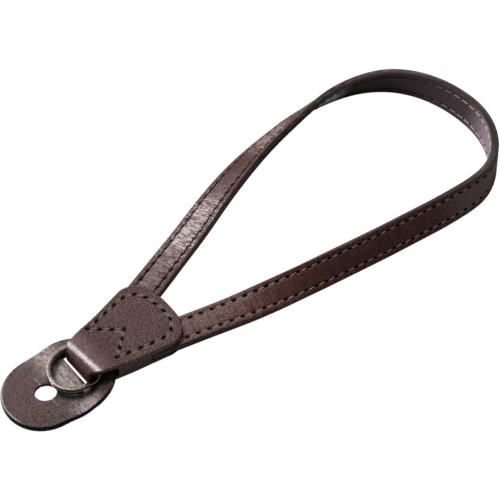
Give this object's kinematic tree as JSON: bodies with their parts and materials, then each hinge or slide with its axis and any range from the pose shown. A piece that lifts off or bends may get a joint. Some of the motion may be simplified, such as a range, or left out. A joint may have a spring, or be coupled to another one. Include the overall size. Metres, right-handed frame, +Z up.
{
  "type": "leather camera hand strap",
  "caption": "Leather hand strap for a camera: a doubled stitched loop held in a folded tab, with a split ring and a leather guard flap.",
  "frame": {"origin": "middle of the part's box seen from above, on the surface that it lies on", "axes": "+X from the camera ring towards the far end of the hand loop, +Y to the left of that, +Z up"},
  "size_m": [0.2092, 0.0782, 0.0113],
  "materials": {
    "grain_leather": "satin wrinkled grain, dark brown",
    "lining_leather": "smooth, dark purplish brown",
    "tab_leather": "smooth satin, dark brown, dark painted edges",
    "guard_leather": "fine pebbled grain, dark brown",
    "aged_nickel": "polished aged nickel"
  },
  "bodies": {
    "strap": {"loop_outer": "grain_leather", "loop_lining": "lining_leather", "tab_shield": "tab_leather", "camera_guard": "guard_leather"},
    "ring": {"split_ring": "aged_nickel"}
  },
  "joints": [
    {"name": "ring_spin", "type": "hinge", "parent": "strap", "child": "ring", "pos_m": [-0.07905, -0.00305, 0.0045], "axis": [0, 0, 1], "continuous": true}
  ]
}
